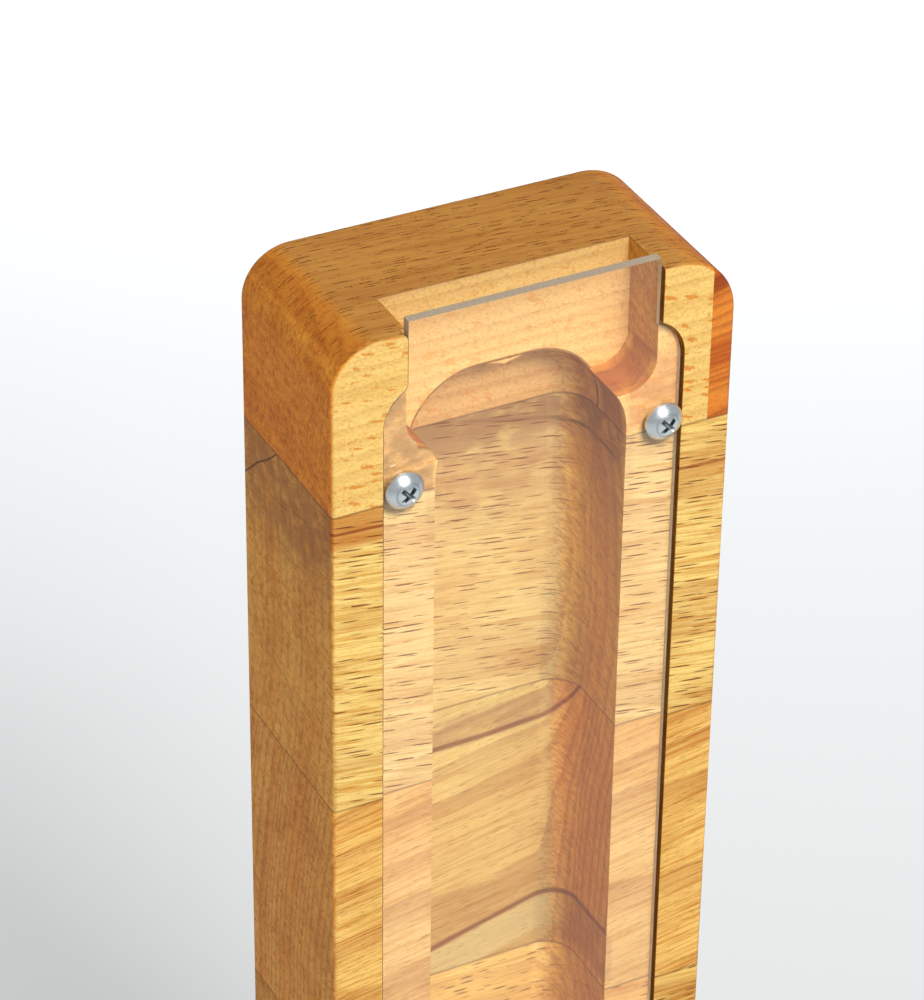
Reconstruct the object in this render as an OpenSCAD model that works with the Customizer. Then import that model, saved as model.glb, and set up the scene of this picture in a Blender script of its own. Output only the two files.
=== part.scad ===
// Windowed wooden holder: a block of glued beech staves with a routed channel,
// a drop-in slot in its top and a clear window screwed flush into its front.
//
// Frame: origin at the centre of the base, +Z up, the window faces -Y.
// Every routed shape is cut from the front face, so it is drawn once as a
// cutter for the whole block and each stave is the block between two glue lines.

/* [Block] */
// Width of the block
block_w = 80; // [76:1:100]
// Depth of the block, the thickness of the glued board
block_d = 38; // [34:1:50]
// Height of the block
block_h = 320; // [310:5:330]
// Radius of the top left corner, seen from the front
corner_left_r = 9.5; // [6:0.5:13]
// Radius of the top right corner, seen from the front
corner_right_r = 12; // [6:0.5:13]
// Radius of the sanded long edges
edge_r = 0.8; // [0.4:0.1:1.5]

/* [Staves] */
// Height of the top stave
top_stave_h = 34.2; // [33:0.1:40]
// Height of each full stave below it
stave_h = 65; // [60:1:65]
// Width of the short piece butt-jointed on the right end of the top stave
end_piece_w = 4.7; // [3:0.1:8]

/* [Slot] */
// Width of the drop-in slot
slot_w = 50; // [40:1:52]
// Depth of the slot from the front face
slot_depth = 13; // [9:0.5:16]
// Height of the slot below the top of the block
slot_h = 25; // [22:1:26]
// Radius of the slot's bottom corners
slot_r = 6; // [4:0.5:8]
// Radius where the slot runs into the channel on the left
slot_blend_r = 3.5; // [2:0.5:5]

/* [Channel] */
// Width of the channel
channel_w = 38.5; // [34:0.5:39]
// Depth of the channel from the front face
channel_depth = 21; // [18:0.5:24]
// Wood left above the channel and below it
channel_margin = 18.6; // [18:0.1:20]
// Radius of the channel's corners, seen from the front
channel_r = 14; // [13:0.5:15]
// Radius between the channel's walls and its floor
channel_floor_r = 6.4; // [4:0.1:6.5]

/* [Window] */
// Thickness of the window
window_t = 2; // [2:0.5:3]
// Air left between the window and the bottom of its rebate
air_gap = 0.06; // [0.02:0.01:0.2]
// Width of the rebate
rebate_w = 60; // [59:0.5:62]
// Width of the rebate's neck, above its shoulders
neck_w = 50.6; // [50.2:0.1:52]
// Wood left beside the rebate at its top shoulder and below it
rebate_margin = 10.2; // [9:0.1:12]
// Radius of the rebate's corners
rebate_r = 8.5; // [7:0.5:9]
// Radius of the wood's corner between neck and left shoulder
shoulder_blend_r = 2; // [1:0.1:2.5]
// Radius worn on the wood's top corner left of the neck
neck_corner_r = 1.5; // [0.5:0.1:2]
// Gap all round between window and wood, with the window in the middle
window_gap = 0.5; // [0.3:0.05:0.6]
// How far the window sits to the left of the middle
window_shift = 0.4; // [0:0.05:0.45]
// How far the window's neck stands above the top of the block
window_lip = 2.4; // [0:0.1:4]

/* [Screws] */
// Distance of the screws from the middle of the block
screw_x = 26; // [25.5:0.1:26.5]
// Distance of the screws from the top and from the base
screw_inset = 31.8; // [30:0.1:34]
// Diameter of the thread
screw_d = 3.9; // [3.5:0.1:4.2]
// Length under the head
screw_l = 16; // [13:1:19]
// Diameter of the pan head
head_d = 7.5; // [7:0.1:8]
// Height of the pan head
head_h = 2.6; // [2.2:0.1:3]
// Width of the cross recess
recess_w = 4.2; // [3.6:0.1:4.6]

/* [Hidden] */
$fn = 96;
front_y = -block_d / 2;
// Heights of the glue lines, from the top down
glue_z = [for (i = [0:4]) block_h - top_stave_h - i * stave_h];
end_joint_x = block_w / 2 - end_piece_w;
past = 1;               // how far a cutter runs past a face
crossing = 0.03;        // how far a fillet's arc crosses its outline, so that they meet at an angle
thread_clearance = 0.03; // between the screw and the hole it has formed in the wood
window_hole_d = screw_d + 1.1;  // wide enough for the window's shift
tip_l = 3;              // length of the screw's point
recess_depth = 1.9;
recess_slot = 0.85;     // width of each arm of the cross
skirt_h = 0.7;          // straight edge under the head's dome

// ---- Outlines ----

// Rectangle with round corners, its lower left corner at the origin
module round_rect(w, h, r) {
    translate([r, 0]) square([w - 2 * r, h]);
    translate([0, r]) square([w, h - 2 * r]);
    for (x = [r, w - r], y = [r, h - r]) translate([x, y]) circle(r);
}

// Strip from x = 0 to w and y = -d/2 to d/2, with both corners at x = w rounded
module edged_strip(w, d, r) {
    translate([0, -d / 2 + r]) square([w, d - 2 * r]);
    translate([0, -d / 2]) square([w - r, d]);
    for (s = [-1, 1]) translate([w - r, s * (d / 2 - r)]) circle(r);
}

// Turns a drawing of the front view into a solid from depth d0 to d1 behind the front face
module from_front(d0, d1) {
    translate([0, front_y + d1, 0]) rotate([90, 0, 0]) linear_extrude(d1 - d0) children();
}

// The window's outline: a long panel with a neck; g shrinks it all round, lip raises the neck.
// On the left, a fillet of radius f joins the neck's edge to the panel's round corner: its
// centre is at fx, fz, and it meets that corner at x = meet_x.
module window_outline(g = 0, lip = 0) {
    w = rebate_w - 2 * g;
    neck = neck_w - 2 * g;
    z0 = rebate_margin + g;
    z1 = block_h - rebate_margin - g;
    r = rebate_r - g;
    f = shoulder_blend_r + g;
    corner = [-w / 2 + r, z1 - r];
    fx = -neck / 2 - f;
    fz = corner.y + sqrt(pow(r + f, 2) - pow(corner.x - fx, 2));
    meet_x = corner.x + (fx - corner.x) * r / (r + f);
    difference() {
        union() {
            translate([-w / 2, z0]) round_rect(w, z1 - z0, r);
            translate([-neck / 2, corner.y]) square([neck, block_h + lip - corner.y]);
            translate([meet_x, corner.y]) square([-neck / 2 - meet_x + past, fz - corner.y]);
        }
        translate([fx, fz]) circle(f + crossing);
    }
}

// The slot's outline, open at the top, with a blend into the channel on the left
module slot_outline() {
    z = block_h - slot_h;
    translate([-slot_w / 2, z]) round_rect(slot_w, slot_h + slot_r + past, slot_r);
    difference() {
        translate([-channel_w / 2 - slot_blend_r, z - slot_blend_r])
            square([slot_blend_r * 2, slot_blend_r + slot_r]);
        translate([-channel_w / 2 - slot_blend_r, z - slot_blend_r]) circle(slot_blend_r);
    }
}

// ---- Cutters for the whole block ----

module rebate_cutter() {
    r = neck_corner_r;
    from_front(-past, window_t + air_gap) {
        window_outline(0, past);
        translate([-neck_w / 2 - r, block_h - r]) difference() {
            square([2 * r, r + past]);
            circle(r + crossing);
        }
    }
}

module slot_cutter() {
    from_front(-past, slot_depth) slot_outline();
}

// Half section of the channel from its middle to a wall at x = w; Y is the depth
module channel_section(w) {
    r = channel_floor_r;
    square([w, channel_depth - r]);
    square([w - r, channel_depth]);
    translate([w - r, channel_depth - r]) circle(r);
}

// The channel: straight walls, round corners and a floor blended into every wall
module channel_cutter() {
    z0 = channel_margin + channel_r;
    z1 = block_h - channel_margin - channel_r;
    cx = channel_w / 2 - channel_r;
    translate([0, front_y, 0]) {
        for (s = [0, 1]) mirror([s, 0, 0]) {
            translate([0, 0, z0]) linear_extrude(z1 - z0) channel_section(channel_w / 2);
            for (z = [z0, z1])
                translate([cx, 0, z]) rotate([-90, 0, 0]) rotate_extrude() channel_section(channel_r);
        }
        for (up = [0, 1])
            translate([-cx, 0, up ? z1 : z0]) mirror([0, 0, 1 - up]) rotate([0, 0, 90])
                rotate([90, 0, 0]) mirror([1, 0, 0]) rotate([0, 0, 90]) mirror([0, 1, 0])
                    linear_extrude(2 * cx) channel_section(channel_r);
    }
}

module screw_places() {
    for (x = [-screw_x, screw_x], z = [screw_inset, block_h - screw_inset])
        translate([x, front_y, z]) rotate([90, 0, 0]) children();
}

// Holes that the screws have formed in the wood behind the window
module thread_holes() {
    screw_places() translate([0, 0, -screw_l - past])
        cylinder(d = screw_d + 2 * thread_clearance, h = screw_l + 2 * past);
}

// ---- Wood ----

// The block between two heights, with its long edges rounded
module plain_slice(z0, z1) {
    translate([0, 0, z0]) linear_extrude(z1 - z0)
        for (s = [0, 1]) mirror([s, 0]) edged_strip(block_w / 2, block_d, edge_r);
}

// One top corner of the block and the wood below it down to z0; side is -1 or 1
module corner_column(side, r, z0) {
    translate([side * (block_w / 2 - r), 0, 0]) mirror([side < 0 ? 1 : 0, 0, 0]) {
        translate([0, 0, z0]) linear_extrude(block_h - r - z0) edged_strip(r, block_d, edge_r);
        translate([0, 0, block_h - r]) rotate([90, 0, 0])
            rotate_extrude(angle = 90) edged_strip(r, block_d, edge_r);
    }
}

// The block from z0 to its top, with both top corners
module top_slice(z0) {
    x0 = -block_w / 2 + corner_left_r;
    x1 = block_w / 2 - corner_right_r;
    corner_column(-1, corner_left_r, z0);
    corner_column(1, corner_right_r, z0);
    translate([x0, 0, z0]) rotate([0, -90, 0]) mirror([0, 0, 1])
        linear_extrude(x1 - x0) edged_strip(block_h - z0, block_d, edge_r);
}

// What is routed and drilled out of every stave
module routing() {
    rebate_cutter();
    slot_cutter();
    channel_cutter();
    thread_holes();
}

// Keeps the part of the top stave on one side of its butt joint
module beside_end_joint(right) {
    intersection() {
        children();
        translate([right ? end_joint_x : -block_w, -block_d, 0])
            cube([right ? block_w : end_joint_x + block_w, 2 * block_d, block_h + past]);
    }
}

module top_stave() {
    color("burlywood") beside_end_joint(false) difference() {
        top_slice(glue_z[0]);
        routing();
    }
}

module top_stave_end() {
    color("peru") beside_end_joint(true) top_slice(glue_z[0]);
}

module stave(z0, z1, tint) {
    color(tint) difference() {
        plain_slice(z0, z1);
        routing();
    }
}

// ---- Window and screws ----

module window() {
    color("whitesmoke", 0.4) difference() {
        translate([-window_shift, 0, 0]) from_front(0, window_t) window_outline(window_gap, window_lip);
        screw_places() translate([0, 0, -window_t - past])
            cylinder(d = window_hole_d, h = window_t + 2 * past);
    }
}

// Profile of the pan head: a straight skirt under a dome
module head_profile() {
    rise = head_h - skirt_h;
    dome_r = (pow(head_d / 2, 2) + rise * rise) / (2 * rise);
    square([head_d / 2, skirt_h]);
    intersection() {
        translate([0, skirt_h + rise - dome_r]) circle(dome_r);
        translate([0, skirt_h]) square([head_d / 2, rise]);
    }
}

// Cross recess: two crossed slots that a cone narrows towards their bottom
module cross_recess() {
    translate([0, 0, head_h - recess_depth]) intersection() {
        cylinder(r1 = recess_slot / 2, r2 = recess_w / 2, h = recess_depth);
        for (a = [45, 135]) rotate([0, 0, a])
            translate([-recess_w / 2, -recess_slot / 2, 0]) cube([recess_w, recess_slot, recess_depth]);
    }
}

module screw() {
    difference() {
        rotate_extrude() head_profile();
        cross_recess();
    }
    translate([0, 0, tip_l - screw_l]) cylinder(d = screw_d, h = screw_l - tip_l);
    translate([0, 0, -screw_l]) cylinder(d1 = 0.4, d2 = screw_d, h = tip_l);
}

module window_screws() {
    color("silver") screw_places() screw();
}

top_stave();
top_stave_end();
stave(glue_z[1], glue_z[0], "burlywood");  // stave_2
stave(glue_z[2], glue_z[1], "sandybrown");  // stave_3
stave(glue_z[3], glue_z[2], "burlywood");  // stave_4
stave(glue_z[4], glue_z[3], "tan");  // stave_5
stave(0, glue_z[4], "sandybrown");  // bottom_stave
window();
window_screws();
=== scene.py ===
"""Looks for a windowed wooden holder: a block of glued beech staves with a routed channel, a
drop-in slot in its top, and a clear acrylic window screwed into its front.

Every solid is a CAD node and stays one. This script gives each a worn arris, and a material worked
out in millimetres from the row's own coordinates, so that the grain runs through a board as it does
in real wood: the same rings and rays show as dashes, flecks or end grain, as the face is cut.
"""

import math

import bpy
from mathutils import Matrix, Vector


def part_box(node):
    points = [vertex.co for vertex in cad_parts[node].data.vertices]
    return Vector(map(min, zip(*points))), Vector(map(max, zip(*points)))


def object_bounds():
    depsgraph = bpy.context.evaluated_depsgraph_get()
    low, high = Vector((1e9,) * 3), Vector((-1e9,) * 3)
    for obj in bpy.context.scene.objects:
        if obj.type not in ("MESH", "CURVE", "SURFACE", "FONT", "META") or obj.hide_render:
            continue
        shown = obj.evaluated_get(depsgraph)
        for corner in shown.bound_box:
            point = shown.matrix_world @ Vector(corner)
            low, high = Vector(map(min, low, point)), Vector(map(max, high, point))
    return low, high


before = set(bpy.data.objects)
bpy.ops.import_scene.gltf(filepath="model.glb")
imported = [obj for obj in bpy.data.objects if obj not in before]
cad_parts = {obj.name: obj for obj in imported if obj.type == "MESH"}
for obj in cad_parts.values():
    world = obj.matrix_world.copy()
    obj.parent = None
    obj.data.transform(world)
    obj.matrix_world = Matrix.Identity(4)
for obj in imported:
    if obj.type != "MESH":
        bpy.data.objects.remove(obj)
cad_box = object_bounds()

MM = 0.001
top_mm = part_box("top_stave")[1].z / MM
floor_z = cad_box[0].z


# ---- Node building ----


class Graph:
    """A material's node tree, with short words for the nodes used here."""

    def __init__(self, name):
        self.material = bpy.data.materials.new(name)
        self.material.use_nodes = True
        self.tree = self.material.node_tree
        self.tree.nodes.clear()

    def add(self, kind, inputs=(), **settings):
        """A new shader node with these settings. inputs holds (socket, value or output) pairs."""
        node = self.tree.nodes.new("ShaderNode" + kind)
        for name, value in settings.items():
            setattr(node, name, value)
        for socket, value in dict(inputs).items():
            target = node.inputs[socket]
            if isinstance(value, bpy.types.NodeSocket):
                self.tree.links.new(value, target)
            else:
                target.default_value = value
        return node

    def calc(self, operation, *terms):
        return self.add("Math", enumerate(terms), operation=operation).outputs[0]

    def total(self, *terms):
        result = terms[0]
        for term in terms[1:]:
            result = self.calc("ADD", result, term)
        return result

    def product(self, *terms):
        result = terms[0]
        for term in terms[1:]:
            result = self.calc("MULTIPLY", result, term)
        return result

    def length(self, first, second):
        return self.calc("SQRT", self.total(self.product(first, first), self.product(second, second)))

    def blend(self, share, start, end):
        """A number that goes from start to end as share goes from 0 to 1."""
        return self.total(start, self.product(share, end - start))

    def step(self, value, start, end):
        """0 before start, 1 after end and smooth between; the other way round where start > end."""
        inputs = {"Value": value, "From Min": start, "From Max": end}
        return self.add("MapRange", inputs, interpolation_type="SMOOTHSTEP").outputs["Result"]

    def between(self, value, low, high, soft):
        """1 from low to high, falling to 0 over soft on both sides."""
        return self.product(self.step(value, low - soft, low), self.step(value, high + soft, high))

    def mix(self, share, first, second, blend="MIX"):
        inputs = {0: share, 6: first, 7: second}
        return self.add("Mix", inputs, data_type="RGBA", blend_type=blend, clamp_result=True).outputs[2]

    def tint(self, share, tone, shade):
        """The tone, multiplied by the shade where share is 1."""
        return self.mix(share, tone, shade, "MULTIPLY")

    def vector(self, x, y, z):
        return self.add("CombineXYZ", enumerate((x, y, z))).outputs[0]

    def stretch(self, place, scale):
        """A place, given as three outputs, as one vector with each of them scaled."""
        return self.vector(*(self.product(value, factor) for value, factor in zip(place, scale)))

    def noise(self, place, detail=2.0, roughness=0.5):
        inputs = {"Vector": place, "Scale": 1.0, "Detail": detail, "Roughness": roughness}
        return self.add("TexNoise", inputs).outputs[0]

    def noise_along(self, value, detail):
        inputs = {"W": value, "Scale": 1.0, "Detail": detail}
        return self.add("TexNoise", inputs, noise_dimensions="1D").outputs[0]

    def place_mm(self):
        """x, y and z of the surface in the row frame, in millimetres."""
        place = self.add("TexCoord").outputs["Object"]
        scaled = self.add("VectorMath", {0: place, "Scale": 1 / MM}, operation="SCALE").outputs[0]
        return self.add("SeparateXYZ", {0: scaled}).outputs[:3]

    def facing(self):
        """How squarely the surface faces along each of the row's axes, from 0 to 1."""
        normal = self.add("NewGeometry").outputs["Normal"]
        return [self.calc("ABSOLUTE", part) for part in self.add("SeparateXYZ", {0: normal}).outputs[:3]]

    def bump(self, height, depth_mm):
        inputs = {"Height": height, "Distance": depth_mm * MM, "Strength": 1.0}
        return self.add("Bump", inputs).outputs[0]

    def finish(self, shader):
        output = self.add("OutputMaterial")
        self.tree.links.new(shader, output.inputs["Surface"])
        return self.material


def colour(red, green, blue):
    """A display colour, 0 to 255, as the linear colour that a shader takes."""
    def linear(value):
        value /= 255
        return value / 12.92 if value <= 0.04045 else ((value + 0.055) / 1.055) ** 2.4
    return (linear(red), linear(green), linear(blue), 1.0)


# ---- Wood ----


class Stave:
    """How one board was cut from its tree, and its colours. Lengths are in millimetres."""

    pith = (0.0, 0.0)       # where the tree's middle would be, in y, and in z from the block's top
    rise = 0.0              # how much the grain climbs per millimetre to the right
    dive = 0.0              # how much it turns to the back
    wander = 1.5            # how far it strays
    ring = 2.6              # mean width of a year's growth
    ring_share = 0.25       # how strongly the late wood shows
    band_share = 0.45       # how strongly groups of rings differ
    ray = (5.0, 1.0, 8.0)   # room for one ray along the grain, across it, and outwards
    ray_size = (3.2, 0.30)  # length and thickness of a ray
    ray_keep = 0.8          # share of those rooms that hold a ray
    ray_share = 0.9         # how dark the rays are
    ragged = 0.4            # how unevenly the rays are edged
    pale = colour(246, 203, 120)            # early wood
    warm = colour(232, 172, 84)             # early wood in the darker groups of rings
    late = colour(196, 120, 48)             # late wood
    ray_colour = colour(118, 58, 14)        # the ends of rays, as dashes
    fleck_colour = colour(222, 140, 50)     # rays on a face that shows their sides
    end_tint = (0.95, 0.62, 0.46, 1.0)      # end grain drinks more oil
    wall_tint = (0.79, 0.63, 0.27, 1.0)     # the same on the channel's walls
    under_window_shade = (0.94, 0.92, 1.22, 1.0)   # painted shade on routed faces under the window, which the light reaches only through it: greyer
    channel_floor_shade = (1.0, 1.08, 1.20, 1.0)     # the same painted shade on the channel's floor
    top_shade_tint = None                         # painted shade on the block's top face, which gets less light than the front, where the board has it
    rounding_tint = (1.0, 0.62, 0.22, 1.0)  # the top face's rounded corners
    bands = ()                              # streaks of figure, each a Band

    def __init__(self, **looks):
        for name, value in looks.items():
            setattr(self, name, value)


BROAD_MM = 1.5  # a band softer than this is laid on unevenly, as a stain takes; some of these bands are painted shade


class Band:
    """A streak between two levels, counted down from the block's top as negative: most are figure, some are
    painted shade.
    """

    def __init__(self, high, low, soft, tint, share, slope=0.0, lean=0.0, **where):
        self.high, self.low, self.soft = high, low, soft
        self.tint, self.share = tint, share
        self.slope = slope      # how much it climbs to the right
        self.lean = lean        # how much it climbs to the back
        self.where = where      # x=(low, high, soft) and y=(low, high, soft) keep it there

    def mask(self, g):
        level = g.total(g.level, g.product(g.x, -self.slope), g.product(g.y, -self.lean))
        share = g.product(g.between(level, self.low, self.high, self.soft), self.share)
        for axis, value in (("x", g.x), ("y", g.y)):
            if axis in self.where:
                share = g.product(share, g.between(value, *self.where[axis]))
        if self.soft > BROAD_MM:
            share = g.product(share, g.patchy)
        return share


# Where each kind of face lies, in millimetres: y for depth, and x to either side of the middle
PLANED_Y = (-18.2, -18.7)
UNDER_WINDOW_Y = (-17.6, -3.0)
FLOOR_Y = (0.5, 4.0)
ROUTED_Y = (-17.6, 4.0)
WALL_Y = (-16.5, 2.5)
CREVICE_Y = (-18.6, -17.2)
CREVICE_X = (24.0, 31.0)
OUTER_X = (29.0, 33.0)
CORNER_X = (27.0, 31.0)
RIM_Y = (-6.3, -5.6)

# The channel's top end: half its width, its corners' radius, and the wood left above it
CHANNEL_HALF = 19.25
CHANNEL_R = 14.0
CHANNEL_MARGIN = 18.6

# Fine marks between the rays: their rooms, their length and thickness, and the share of rooms used
FINE_MARKS = {"room": (2.0, 0.5, 2.5), "size": (1.1, 0.13), "keep": 0.8, "shift": 7.3}

# painted shade for the gaps beside the window
GAP_SHADE_BROWN = colour(70, 30, 8)
GLUE_BROWN = colour(96, 50, 22)
# painted shade along the edge of the channel's arch in the slot's back wall
RIM_SHADE_BROWN = colour(120, 62, 24)


class Wood(Graph):
    """The material of one board, from its place in the block and in its tree."""

    def __init__(self, name, node, stave):
        super().__init__(name)
        self.stave = stave
        self.low, self.high = (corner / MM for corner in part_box(node))
        self.x, self.y, self.z = self.place_mm()
        self.depth = self.calc("SUBTRACT", self.z, top_mm)
        self.off_middle = self.calc("ABSOLUTE", self.x)
        self.follow_grain()
        self.measure_from_pith()
        self.sort_faces()
        self.fine = self.fibres(0.09, 5.0)
        self.speck = self.fibres(1.6, 2.4, 3.0, 0.6)
        blotch = self.noise(self.stretch((self.x, self.y, self.z), (0.18, 0.3, 0.3)), 3.0)
        self.patchy = self.blend(self.step(blotch, 0.32, 0.58), 0.35, 1.0)
        self.ray = self.rays(stave.ray, stave.ray_size, stave.ray_keep, ragged=stave.ragged)
        self.pore = self.rays(**FINE_MARKS)

    # The board's own measures

    def follow_grain(self):
        """u and v, across the grain to the back and up, with a slow wander; level, v without rise."""
        stave = self.stave
        slow = self.stretch((self.x, self.y, self.z), (0.012, 0.05, 0.05))
        drift = self.add("TexNoise", {"Vector": slow, "Scale": 1.0, "Detail": 3.0}).outputs["Color"]
        drift = self.add("SeparateXYZ", {0: drift}).outputs
        back, up = (self.product(self.calc("SUBTRACT", part, 0.5), 2 * stave.wander) for part in drift[1:3])
        self.u = self.total(self.y, self.product(self.x, -stave.dive), back)
        self.v = self.total(self.depth, self.product(self.x, -stave.rise), up)
        self.level = self.total(self.v, self.product(self.x, stave.rise))

    def measure_from_pith(self):
        """r, the distance from the pith, and t, round it from the line to the board's middle."""
        pith_y, pith_z = self.stave.pith
        middle = (self.low + self.high) / 2
        reach = Vector((middle.y - pith_y, middle.z - top_mm - pith_z))
        out_y, out_z = reach.normalized()
        du, dv = self.calc("SUBTRACT", self.u, pith_y), self.calc("SUBTRACT", self.v, pith_z)
        outward = self.total(self.product(du, out_y), self.product(dv, out_z))
        sideways = self.total(self.product(du, -out_z), self.product(dv, out_y))
        self.r = self.length(outward, sideways)
        self.t = self.product(self.calc("ARCTAN2", sideways, outward), reach.length)
        self.outward_share = (abs(out_y), abs(out_z))

    def sort_faces(self):
        """Masks for end grain, for the block's own sides and for faces that show the rays' sides."""
        self.sideward, self.forward, self.upward = self.facing()
        self.end = self.step(self.sideward, 0.25, 0.95)
        self.outer = self.step(self.off_middle, *OUTER_X)
        share_y, share_z = self.outward_share
        side_on = self.total(self.product(self.forward, share_z), self.product(self.upward, share_y))
        self.side_on = self.step(side_on, 0.45, 0.8)

    def fibres(self, along, across, detail=2.0, roughness=0.5):
        """Noise drawn out along the grain; along and across are how often it changes per mm."""
        place = self.stretch((self.x, self.u, self.v), (along, across, across))
        return self.noise(place, detail, roughness)

    def rays(self, room, size, keep, shift=0.0, ragged=0.0):
        """Thin spindles that stand along the grain and run outwards, one at most in each room."""
        place = self.vector(self.total(self.calc("DIVIDE", self.x, room[0]), shift),
                            self.calc("DIVIDE", self.t, room[1]), self.calc("DIVIDE", self.r, room[2]))
        cell = self.add("TexVoronoi", {"Vector": place, "Scale": 1.0}, feature="F1")
        chance = self.add("SeparateXYZ", {0: cell.outputs["Color"]}).outputs
        ends = {0: place, 1: cell.outputs["Position"]}
        away = self.add("VectorMath", ends, operation="SUBTRACT").outputs[0]
        slender = (room[0] * 2 / size[0], room[1] * 2 / size[1], 1.6)
        away = self.add("VectorMath", {0: away, 1: slender}, operation="MULTIPLY").outputs[0]
        reach = self.add("VectorMath", {0: away}, operation="LENGTH").outputs["Value"]
        reach = self.product(reach, self.blend(self.speck, 1 - ragged / 2, 1 + ragged / 2))
        reach = self.calc("DIVIDE", reach, self.blend(chance[1], 0.55, 1.45))
        return self.product(self.calc("LESS_THAN", chance[0], keep), self.step(reach, 1.0, 0.45))

    # The board's colour, one look after another

    def grown(self):
        """Years of growth: late wood ends at a sharp line, and good and bad years come in groups."""
        stave = self.stave
        uneven = self.product(self.noise_along(self.product(self.r, 0.21 / stave.ring), 1.0), 3.0)
        year = self.calc("FRACT", self.total(self.calc("DIVIDE", self.r, stave.ring), uneven))
        late = self.product(self.step(year, 0.35, 0.96), self.step(year, 1.0, 0.97))
        group = self.step(self.noise_along(self.product(self.r, 0.11), 3.0), 0.36, 0.66)
        tone = self.mix(self.product(group, stave.band_share), stave.pale, stave.warm)
        return self.mix(self.product(late, stave.ring_share), tone, stave.late)

    def streaked(self, tone):
        """Fibres, strongest on the planed front and the sides, and specks among the flecks."""
        open_grain = self.calc("MAXIMUM", self.step(self.y, *PLANED_Y), self.product(self.end, self.outer))
        share = self.product(self.blend(open_grain, 0.6, 1.0), self.blend(self.side_on, 1.0, 0.2))
        coarse = self.fibres(0.035, 0.9, 4.0, 0.6)
        cloud = self.fibres(0.05, 0.09)
        for streak, dark, bright in ((self.fine, (0.80, 0.60, 0.36, 1), (1.14, 1.34, 1.62, 1)),
                                     (coarse, (0.78, 0.58, 0.34, 1), (1.14, 1.34, 1.66, 1)),
                                     (cloud, (0.88, 0.80, 0.70, 1), (1.08, 1.14, 1.24, 1))):
            tone = self.tint(share, tone, self.mix(self.step(streak, 0.3, 0.7), dark, bright))
        specks = self.mix(self.step(self.speck, 0.34, 0.62), (0.90, 0.80, 0.64, 1), (1.04, 1.08, 1.16, 1))
        return self.tint(self.blend(self.side_on, 0.35, 1.0), tone, specks)

    def figured_and_shaded(self, tone):
        for band in self.stave.bands:
            tone = self.mix(band.mask(self), tone, band.tint)
        return tone

    def routed(self, tone):
        """Painted shade on faces that the router cut, which only see the light through the window: a greyer
        tint under the window and on the channel's floor.
        """
        for depths, shade in ((UNDER_WINDOW_Y, self.stave.under_window_shade), (FLOOR_Y, self.stave.channel_floor_shade)):
            inside = self.product(self.between(self.y, *depths, 0.6), self.step(self.forward, 0.7, 0.95))
            tone = self.tint(inside, tone, shade)
        return tone

    def cut_across(self, tone):
        """End grain, with the cutter's marks on the channel's walls, and painted shade in the gaps beside the
        window.
        """
        stave = self.stave
        tone = self.tint(self.end, tone, self.mix(self.outer, stave.wall_tint, stave.end_tint))
        rising = self.product(self.total(self.y, self.z), 0.12)
        falling = self.product(self.calc("SUBTRACT", self.z, self.y), 1.9)
        marks = self.step(self.noise(self.vector(rising, falling, self.x)), 0.35, 0.65)
        marks = self.mix(marks, (0.80, 0.76, 0.72, 1), (1.12, 1.15, 1.20, 1))
        walls = self.product(self.between(self.y, *WALL_Y, 0.5), self.step(self.sideward, 0.15, 0.6),
                             self.step(self.outer, 0.5, 0.4))
        tone = self.tint(walls, tone, marks)
        # Painted shade on the end-grain walls of the narrow gaps beside the window
        gap_shade = self.product(self.between(self.y, *CREVICE_Y, 0.3), self.end,
                               self.between(self.off_middle, *CREVICE_X, 0.5))
        return self.mix(self.product(gap_shade, 0.65), tone, GAP_SHADE_BROWN)

    def topped(self, tone, bare):
        """The block's top face, darkened as painted shade because it gets less light than the front, and its
        rounded corners in their own darker tint.
        """
        stave = self.stave
        tone = self.tint(self.step(self.upward, 0.3, 0.9), tone, stave.top_shade_tint)
        slanting = self.step(self.product(self.sideward, self.upward), 0.08, 0.4)
        rounding = self.product(slanting, self.step(self.off_middle, *CORNER_X))
        tone = self.mix(rounding, tone, self.tint(1.0, bare, stave.rounding_tint))
        # Painted shade: where the rounded corners face up, they darken as the top face does
        shoulder = self.product(rounding, self.between(self.upward, 0.66, 0.93, 0.14))
        return self.tint(shoulder, tone, (0.74, 0.64, 0.52, 1))

    def rimmed(self, tone):
        """Painted shade: a thin dark line along the edge where the channel breaks through the slot's back
        wall.
        """
        beside = self.calc("MAXIMUM", self.calc("SUBTRACT", self.off_middle, CHANNEL_HALF - CHANNEL_R), 0.0)
        above = self.calc("MAXIMUM", self.calc("ADD", self.depth, CHANNEL_MARGIN + CHANNEL_R), 0.0)
        rim_shade = self.product(self.between(self.length(beside, above), CHANNEL_R, CHANNEL_R + 0.3, 0.2),
                           self.between(self.y, *RIM_Y, 0.1))
        return self.mix(self.product(rim_shade, 0.75), tone, RIM_SHADE_BROWN)

    def rayed(self, tone):
        """Rays and fine marks, weaker on end grain and on the routed faces that show flecks."""
        stave = self.stave
        routed = self.product(self.between(self.y, *ROUTED_Y, 0.6), self.side_on)
        hidden = self.total(self.product(self.end, 0.6), self.product(routed, 0.5))
        shown = self.product(self.ray, self.calc("SUBTRACT", stave.ray_share, hidden))
        tone = self.mix(shown, tone, self.mix(self.side_on, stave.ray_colour, stave.fleck_colour))
        return self.mix(self.product(self.pore, 0.16), tone, stave.ray_colour)

    def glued(self, tone):
        """Glue and squeezed fibres darken the joints."""
        lower = self.step(self.z, self.low.z + 0.35, self.low.z + 0.05)
        upper = self.step(self.z, self.high.z - 0.35, self.high.z - 0.05)
        seam = self.product(self.calc("MAXIMUM", lower, upper), 0.55, self.step(self.upward, 0.9, 0.5))
        return self.mix(seam, tone, GLUE_BROWN)

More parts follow.
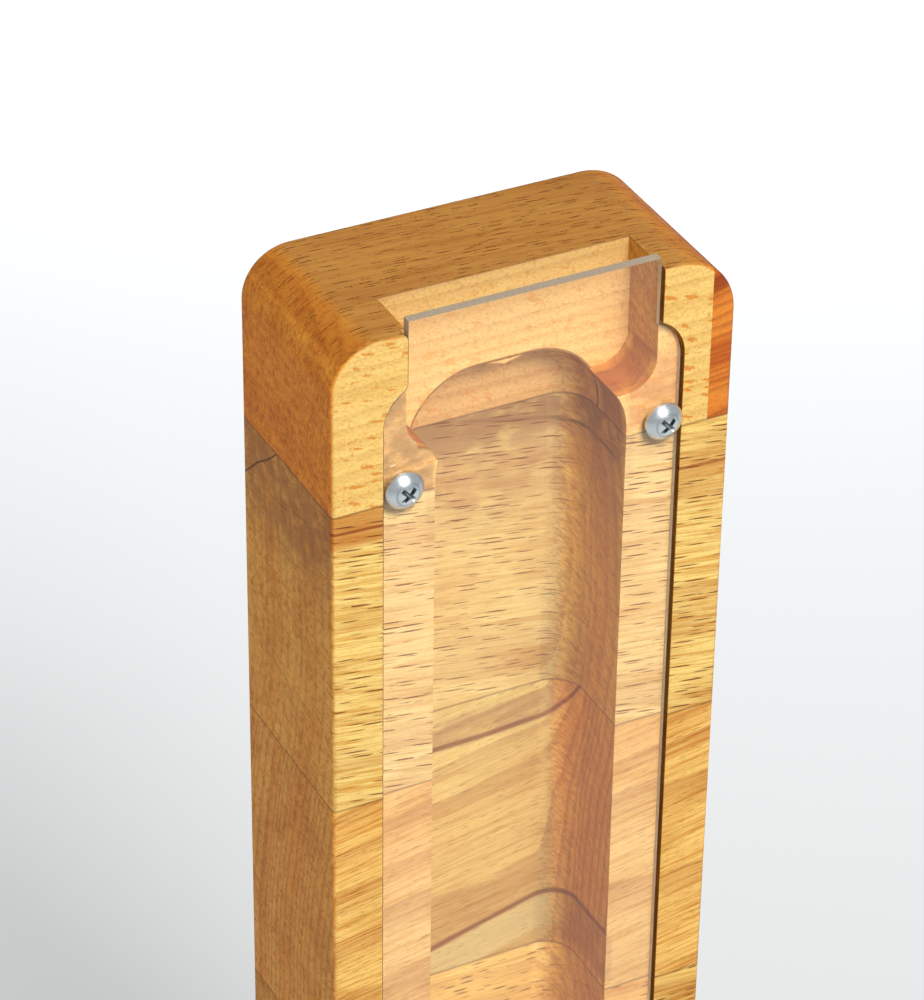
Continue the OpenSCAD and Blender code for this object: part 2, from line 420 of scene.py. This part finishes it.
    def oiled(self, tone):
        height = self.total(self.product(self.fine, 0.5), self.product(self.ray, -0.7),
                            self.product(self.pore, -0.4))
        rough = self.total(0.46, self.product(self.fine, 0.16), self.product(self.ray, 0.15),
                           self.product(self.end, 0.1))
        surface = self.add("BsdfPrincipled", {
            "Base Color": tone, "Roughness": rough, "Normal": self.bump(height, 0.04),
            "Specular IOR Level": 0.2,
        })
        return self.finish(surface.outputs[0])


def wood(name, node, stave):
    board = Wood(name, node, stave)
    bare = board.figured_and_shaded(board.streaked(board.grown()))
    tone = board.cut_across(board.routed(bare))
    if stave.top_shade_tint:
        tone = board.rimmed(board.topped(tone, bare))
    return board.oiled(board.glued(board.rayed(tone)))


DARK_RED = colour(140, 52, 12)
PINK_BROWN = colour(192, 132, 74)
# painted shade, for the slot's foot, behind the lintel and on the rebate's right strip
PAINTED_SHADE_BROWN = colour(184, 122, 64)
NEAR_BLACK = colour(52, 30, 18)
GREY_BROWN = colour(140, 102, 52)
WARM_BROWN = colour(196, 116, 40)
DARK_UMBER = colour(168, 124, 84)
PALE_YELLOW = colour(252, 212, 132)

# Where a band shows, in millimetres: each range is low, high and how softly it ends
LEFT_FACE = {"x": (-41, -39.75, 0.2)}
LEFT_FACE_BACK = {"x": (-41, -39.75, 0.2), "y": (4, 20, 1)}
FRONT_LEFT = {"x": (-41, -26, 1), "y": (-20, -18.5, 0.5)}
FRONT_RIGHT = {"x": (26, 41, 1), "y": (-20, -18.5, 0.5)}
REBATE_LEFT = {"x": (-34, -20, 1), "y": (-17.3, -16, 0.4)}
REBATE_RIGHT = {"x": (20, 34, 1), "y": (-17.3, -16, 0.4)}
SLOT_FOOT = {"x": (-26, 26, 1), "y": (-14.5, -9.0, 2.0)}
LINTEL = {"x": (-20, 20, 1), "y": (-5.2, 3.0, 0.7)}
CHANNEL = {"x": (-20, 20, 1), "y": (-16, 6, 1)}
CHANNEL_TOP = {"x": (-20.5, 20.5, 1), "y": (-14, 8, 4)}
CHANNEL_FLOOR = {"x": (-20, 20, 1), "y": (-1, 6, 1)}
CHANNEL_WALLS = {"x": (-20, 20, 1), "y": (-16, -2, 2)}
FLOOR_RIGHT = {"x": (-3, 20, 3), "y": (-12, 8, 2)}

STAVES = {
    "top_stave": Stave(
        pith=(6, -112), dive=-0.08, ray=(4.2, 0.7, 1.9), ray_size=(3.2, 0.24), ray_keep=0.7, ragged=2.4,
        ring=3.2, ring_share=0.22, band_share=0.3, pale=colour(250, 212, 126), warm=colour(243, 188, 92),
        end_tint=(1.0, 0.52, 0.11, 1), top_shade_tint=(0.65, 0.44, 0.25, 1), under_window_shade=(0.92, 0.87, 1.02, 1),
        channel_floor_shade=(0.80, 0.72, 0.84, 1), wall_tint=(0.80, 0.62, 0.33, 1),
        bands=(
            # Stains on the rebate's left strip near the screws, darkened further as painted shade
            Band(-14, -40, 3, GREY_BROWN, 0.7, **REBATE_LEFT),
            # Painted shade in the slot's rounded foot
            Band(-19, -40, 1.5, PAINTED_SHADE_BROWN, 0.8, **SLOT_FOOT),
            # Painted shade behind the lintel over the channel's top
            Band(-22, -40, 4, PAINTED_SHADE_BROWN, 0.1, **LINTEL),
            # Painted shadow on the rebate's right strip, beside the window's edge
            Band(-20, -30, 5, PAINTED_SHADE_BROWN, 0.6, **REBATE_RIGHT),
        ),
    ),
    "top_stave_end": Stave(
        pith=(30, -140), rise=0.16, wander=5, ring=1.7, ring_share=0.4, band_share=0.8, ray_keep=0.3,
        pale=colour(234, 142, 50), warm=colour(196, 92, 24), late=colour(140, 54, 16),
        end_tint=(0.8, 0.6, 0.5, 1),
        bands=(
            Band(-9.5, -11, 1.2, DARK_RED, 0.65, slope=0.36),
            Band(-17, -19.5, 1.5, DARK_RED, 0.7, slope=0.36),
        ),
    ),
    "stave_2": Stave(
        pith=(130, -70), rise=-0.14, ray=(6.4, 1.0, 8), ray_size=(5.2, 0.30), ring=3.0, ring_share=0.25,
        pale=colour(255, 220, 130), warm=colour(245, 188, 88), end_tint=(0.93, 0.66, 0.41, 1),
        under_window_shade=(0.78, 0.80, 1.08, 1), channel_floor_shade=(0.76, 0.80, 0.95, 1),
        bands=(
            Band(-36.5, -36.9, 0.35, NEAR_BLACK, 0.8, slope=-0.2, **FLOOR_RIGHT),
            # Grey-brown and pink-brown figure below the channel's top, with the painted shadow of the lintel
            # on it, fading down the floor
            Band(-34, -37, 9, GREY_BROWN, 0.75, **CHANNEL_TOP),
            Band(-34, -48, 22, PINK_BROWN, 0.55, **CHANNEL_TOP),
            Band(-30, -44, 18, DARK_UMBER, 0.7, **LEFT_FACE),
            Band(-30.6, -30.9, 0.25, NEAR_BLACK, 0.7, lean=-0.845, **LEFT_FACE_BACK),
            Band(-34, -41, 1.4, WARM_BROWN, 0.6, **FRONT_LEFT),
            Band(-39.8, -40.1, 0.4, DARK_RED, 0.8, slope=-0.05, **FRONT_LEFT),
            Band(-41.9, -42.2, 0.4, DARK_RED, 0.8, slope=-0.05, **FRONT_RIGHT),
            Band(-42, -48, 3.0, WARM_BROWN, 0.5, **FRONT_RIGHT),
        ),
    ),
    "stave_3": Stave(
        pith=(-220, -160), rise=0.16, ray=(3.6, 0.9, 5), ray_size=(1.8, 0.2), ray_share=0.55, ring=2.0,
        ring_share=0.4, pale=colour(255, 208, 116), warm=colour(246, 172, 72), end_tint=(0.88, 0.68, 0.48, 1),
        under_window_shade=(0.80, 0.84, 1.16, 1), channel_floor_shade=(0.75, 0.93, 1.18, 1),
        bands=(
            Band(-100, -105, 2.0, PINK_BROWN, 0.55, slope=0.04, lean=-1.6, **CHANNEL),
            Band(-104.7, -105.2, 0.7, DARK_RED, 0.75, slope=0.04, lean=-1.6, **CHANNEL),
            Band(-154.8, -155.3, 0.8, DARK_RED, 0.75, slope=0.27, **CHANNEL),
            Band(-156.5, -164, 1.2, PALE_YELLOW, 0.45, slope=0.27, **CHANNEL_FLOOR),
            # Pink-brown figure on the channel's walls, with painted shade on them
            Band(-157, -166, 3.0, PINK_BROWN, 0.6, slope=0.27, **CHANNEL_WALLS),
        ),
    ),
    "stave_4": Stave(
        pith=(120, -215), rise=-0.02, ray=(5.4, 1.1, 8), ring=2.8, ring_share=0.25,
        pale=colour(246, 204, 114), warm=colour(232, 170, 74), end_tint=(0.80, 0.58, 0.34, 1),
    ),
    "stave_5": Stave(
        pith=(-20, -420), rise=0.03, ray=(5.0, 0.8, 1.6), ray_size=(3.4, 0.24), ray_keep=0.8, ring=3.1,
        ring_share=0.2, pale=colour(247, 206, 116), warm=colour(238, 178, 82), end_tint=(0.84, 0.54, 0.28, 1),
    ),
    "bottom_stave": Stave(
        pith=(140, -290), rise=0.06, ray=(5.0, 1.0, 7), ring=2.4, ring_share=0.3,
        pale=colour(244, 190, 98), warm=colour(228, 158, 68), end_tint=(0.82, 0.58, 0.34, 1),
    ),
}


# ---- Acrylic and metal ----


def acrylic():
    """Clear cast sheet: polished faces, and edges left as the saw and the file left them, with a painted warm
    tan on those edges.
    """
    g = Graph("acrylic")
    place = g.place_mm()
    edge = g.step(g.facing()[1], 0.9, 0.6)
    scratch = g.noise(g.stretch(place, (2.5, 6.0, 2.5)), 3.0)
    smear = g.noise(g.stretch(place, (0.08, 1.0, 0.05)), 3.0)
    rough = g.total(0.012, g.product(smear, 0.02), g.product(edge, scratch, 0.6))
    clear = g.add("BsdfPrincipled", {
        # Painted reflection and shade: the edges' warm tan stands in for the wood seen in them and the shade
        # on them; the sheet itself is clear
        "Base Color": g.mix(edge, (0.985, 0.975, 0.97, 1), (0.68, 0.53, 0.36, 1)),
        "Roughness": rough, "IOR": 1.49, "Transmission Weight": g.blend(edge, 1.0, 0.3),
        "Normal": g.bump(g.product(edge, scratch), 0.15),
    })
    # Light goes straight through to the wood behind
    passing = g.add("BsdfTransparent", {"Color": (0.93, 0.92, 0.915, 1)})
    shadow = g.add("LightPath").outputs["Is Shadow Ray"]
    both = g.add("MixShader", {0: shadow, 1: clear.outputs[0], 2: passing.outputs[0]})
    return g.finish(both.outputs[0])


# Where the four screws stand, to each side and above and below the middle of the block
SCREW_X = 26.0
SCREW_Z = 128.2
RECESS_R = (2.5, 2.2)      # the cross recess ends between these distances from a screw's axis
RECESS_Y = (-21.2, -20.8)  # and the painted shade, on rougher metal, starts between these depths


def zinc():
    """Bright zinc plating, a little blue, with a fine grain, and painted shade in the cross recesses, which
    are also rougher.
    """
    g = Graph("bright_zinc")
    place = g.place_mm()
    x, y, z = place
    grain = g.noise(g.stretch(place, (7.0, 7.0, 7.0)), 3.0)
    cloud = g.noise(g.stretch(place, (0.7, 1.0, 0.7)), 2.0)
    tone = g.mix(cloud, colour(206, 216, 222), colour(228, 232, 232))
    from_middle = g.calc("ABSOLUTE", g.calc("SUBTRACT", z, top_mm / 2))
    off_axis = g.length(g.calc("SUBTRACT", g.calc("ABSOLUTE", x), SCREW_X),
                        g.calc("SUBTRACT", from_middle, SCREW_Z))
    recess = g.product(g.step(off_axis, *RECESS_R), g.step(y, *RECESS_Y))
    # Painted shade in the cross recesses
    tone = g.mix(g.product(recess, 0.8), tone, colour(70, 86, 92))
    metal = g.add("BsdfPrincipled", {
        "Base Color": tone, "Metallic": 1.0, "Normal": g.bump(grain, 0.03),
        "Roughness": g.total(0.16, g.product(grain, 0.16), g.product(recess, 0.25)),
    })
    return g.finish(metal.outputs[0])


def pale_floor():
    g = Graph("pale_floor")
    cloud = g.noise(g.stretch(g.place_mm(), (0.004, 0.004, 1.0)))
    tone = g.mix(cloud, (0.65, 0.665, 0.668, 1), (0.67, 0.682, 0.685, 1))
    return g.finish(g.add("BsdfPrincipled", {"Base Color": tone, "Roughness": 0.75}).outputs[0])


# ---- Pieces ----


def soften(node, width_mm):
    """Wears the sharp arrises of a CAD node; the mesh itself stays as packed."""
    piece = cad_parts[node]
    weld = piece.modifiers.new("join_seams", "WELD")
    weld.merge_threshold = 0.002 * MM
    bevel = piece.modifiers.new("worn_arris", "BEVEL")
    bevel.width = width_mm * MM
    bevel.segments = 2
    bevel.limit_method = "ANGLE"
    bevel.angle_limit = math.radians(35)
    bevel.harden_normals = True


def dress(node, material):
    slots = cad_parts[node].data.materials
    for i in range(len(slots)):
        slots[i] = material


for node, stave in STAVES.items():
    dress(node, wood("wood_" + node, node, stave))
    soften(node, 0.12)
dress("window", acrylic())
soften("window", 0.1)
dress("window_screws", zinc())
soften("window_screws", 0.08)


# ---- Stage, light and camera ----


def add_floor(side=12.0):
    mesh = bpy.data.meshes.new("floor")
    half = side / 2
    corners = [(-half, -half, floor_z), (half, -half, floor_z), (half, half, floor_z), (-half, half, floor_z)]
    mesh.from_pydata(corners, [], [(0, 1, 2, 3)])
    floor = bpy.data.objects.new("floor", mesh)
    mesh.materials.append(pale_floor())
    bpy.context.collection.objects.link(floor)
    return floor


def add_softbox(name, azimuth, elevation, distance, size, power, aim):
    """A square soft box seen from aim at that azimuth (0 is the front, 90 the right) and elevation."""
    data = bpy.data.lights.new(name, "AREA")
    data.shape = "SQUARE"
    data.size = size
    data.energy = power
    lamp = bpy.data.objects.new(name, data)
    a, e = math.radians(azimuth), math.radians(elevation)
    way = Vector((math.sin(a) * math.cos(e), -math.cos(a) * math.cos(e), math.sin(e)))
    lamp.location = aim + way * distance
    lamp.rotation_mode = "QUATERNION"
    lamp.rotation_quaternion = (-way).to_track_quat("-Z", "Y")
    bpy.context.collection.objects.link(lamp)
    return lamp


def light_only(lamp, receiver):
    """Keeps the lamp's light on one object."""
    lit = bpy.data.collections.new("lit_by_" + lamp.name)
    lit.objects.link(receiver)
    lamp.light_linking.receiver_collection = lit


def add_camera():
    """A long lens from the upper left, close on the top of the block."""
    data = bpy.data.cameras.new("camera")
    data.lens = 152.8
    data.sensor_width = 36.0
    data.clip_start, data.clip_end = 0.01, 50.0
    camera = bpy.data.objects.new("camera", data)
    place = Vector((-300.1, -576.5, top_mm + 381.9)) * MM
    pan, down, roll = math.radians(-27.13), math.radians(33.80), math.radians(0.81)
    turn = (Matrix.Rotation(pan, 4, "Z") @ Matrix.Rotation(math.pi / 2 - down, 4, "X")
            @ Matrix.Rotation(roll, 4, "Z"))
    camera.matrix_world = Matrix.Translation(place) @ turn
    bpy.context.collection.objects.link(camera)
    bpy.context.scene.camera = camera


def light_room(strength, tint):
    world = bpy.data.worlds.new("studio")
    world.use_nodes = True
    background = world.node_tree.nodes["Background"]
    background.inputs["Color"].default_value = (*tint, 1)
    background.inputs["Strength"].default_value = strength
    bpy.context.scene.world = world


upper_part = Vector((0, 0, cad_box[1].z * 0.75))
floor_behind = Vector((0.58, 1.06, floor_z))  # what the camera sees above the block
floor = add_floor()
add_camera()
light_room(0.50, (0.97, 0.985, 1.0))
add_softbox("key", azimuth=4, elevation=42, distance=1.5, size=0.45, power=14.8, aim=upper_part)
background = add_softbox("background", azimuth=150, elevation=80, distance=0.8, size=0.8, power=17,
                         aim=floor_behind)
light_only(background, floor)
bpy.context.scene.view_settings.view_transform = "Standard"
